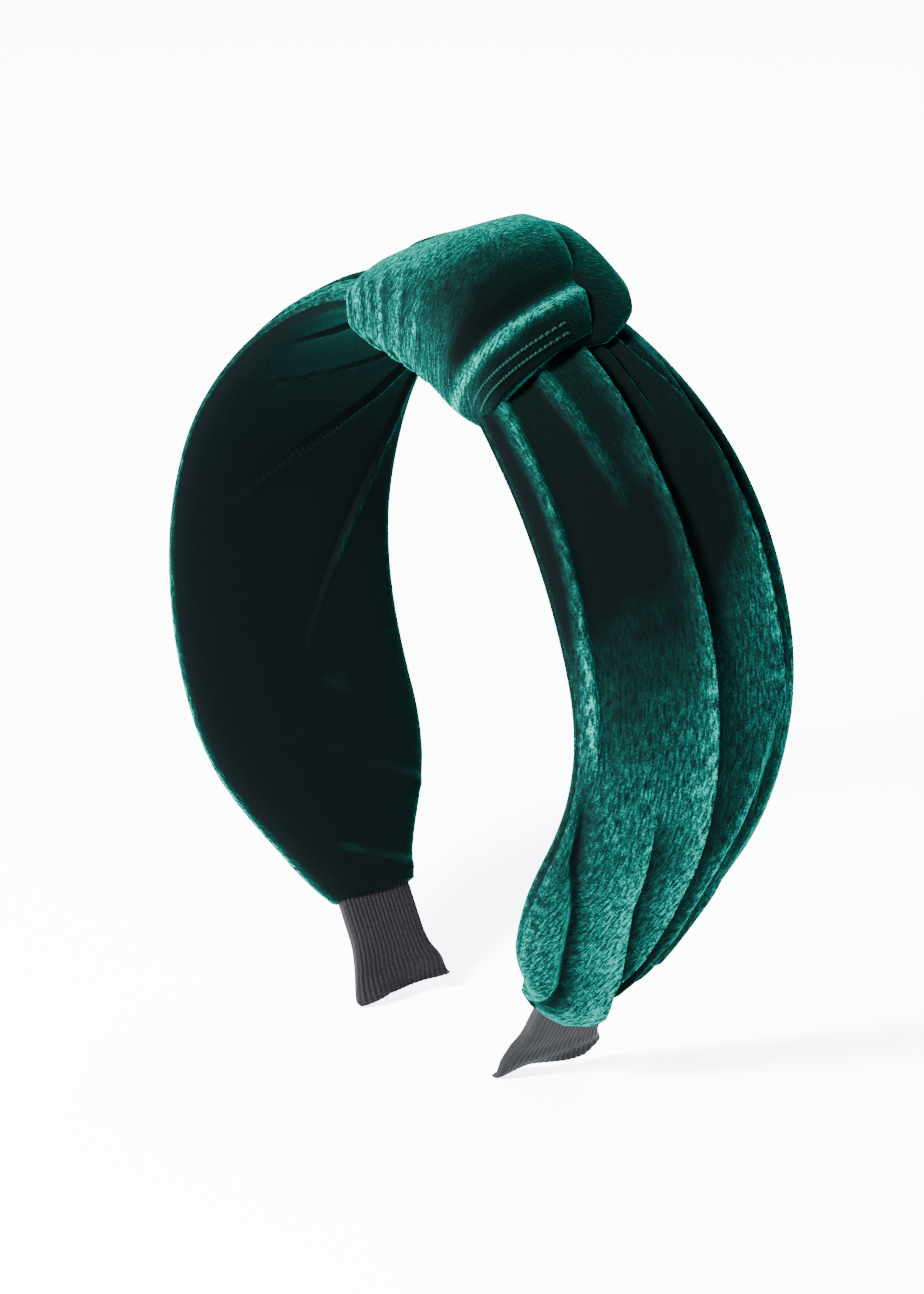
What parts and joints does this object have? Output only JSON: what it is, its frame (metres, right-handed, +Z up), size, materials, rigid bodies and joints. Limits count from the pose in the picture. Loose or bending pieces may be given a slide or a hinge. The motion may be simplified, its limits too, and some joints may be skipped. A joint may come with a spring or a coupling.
{
  "type": "knotted headband",
  "caption": "Rigid springy hoop headband in a wide gathered velvet cover with a knot at the crown and ribbon-wrapped tips.",
  "frame": {"origin": "on the surface that the tips stand on, midway between them and midway across the band", "axes": "+X from ear to ear towards the wearer's left, -Y towards the front of the head, +Z up towards the crown"},
  "size_m": [0.1548, 0.0558, 0.1549],
  "materials": {
    "core_plastic": "moulded black plastic strip",
    "foam": "white open-cell foam",
    "velvet": "deep green stretch velvet with a bright pile",
    "thread": "matched polyester sewing thread",
    "ribbon": "dark grey grosgrain ribbon with fine ribs"
  },
  "bodies": {
    "root": {"hoop_core": "core_plastic", "foam_strip": "foam", "velvet_left": "velvet", "velvet_right": "velvet", "knot_wrap": "velvet", "knot_loop": "velvet", "knot_hem_thread": "thread", "knot_tack_thread": "thread", "tip_sleeve_left": "ribbon", "tip_sleeve_right": "ribbon"}
  },
  "joints": []
}
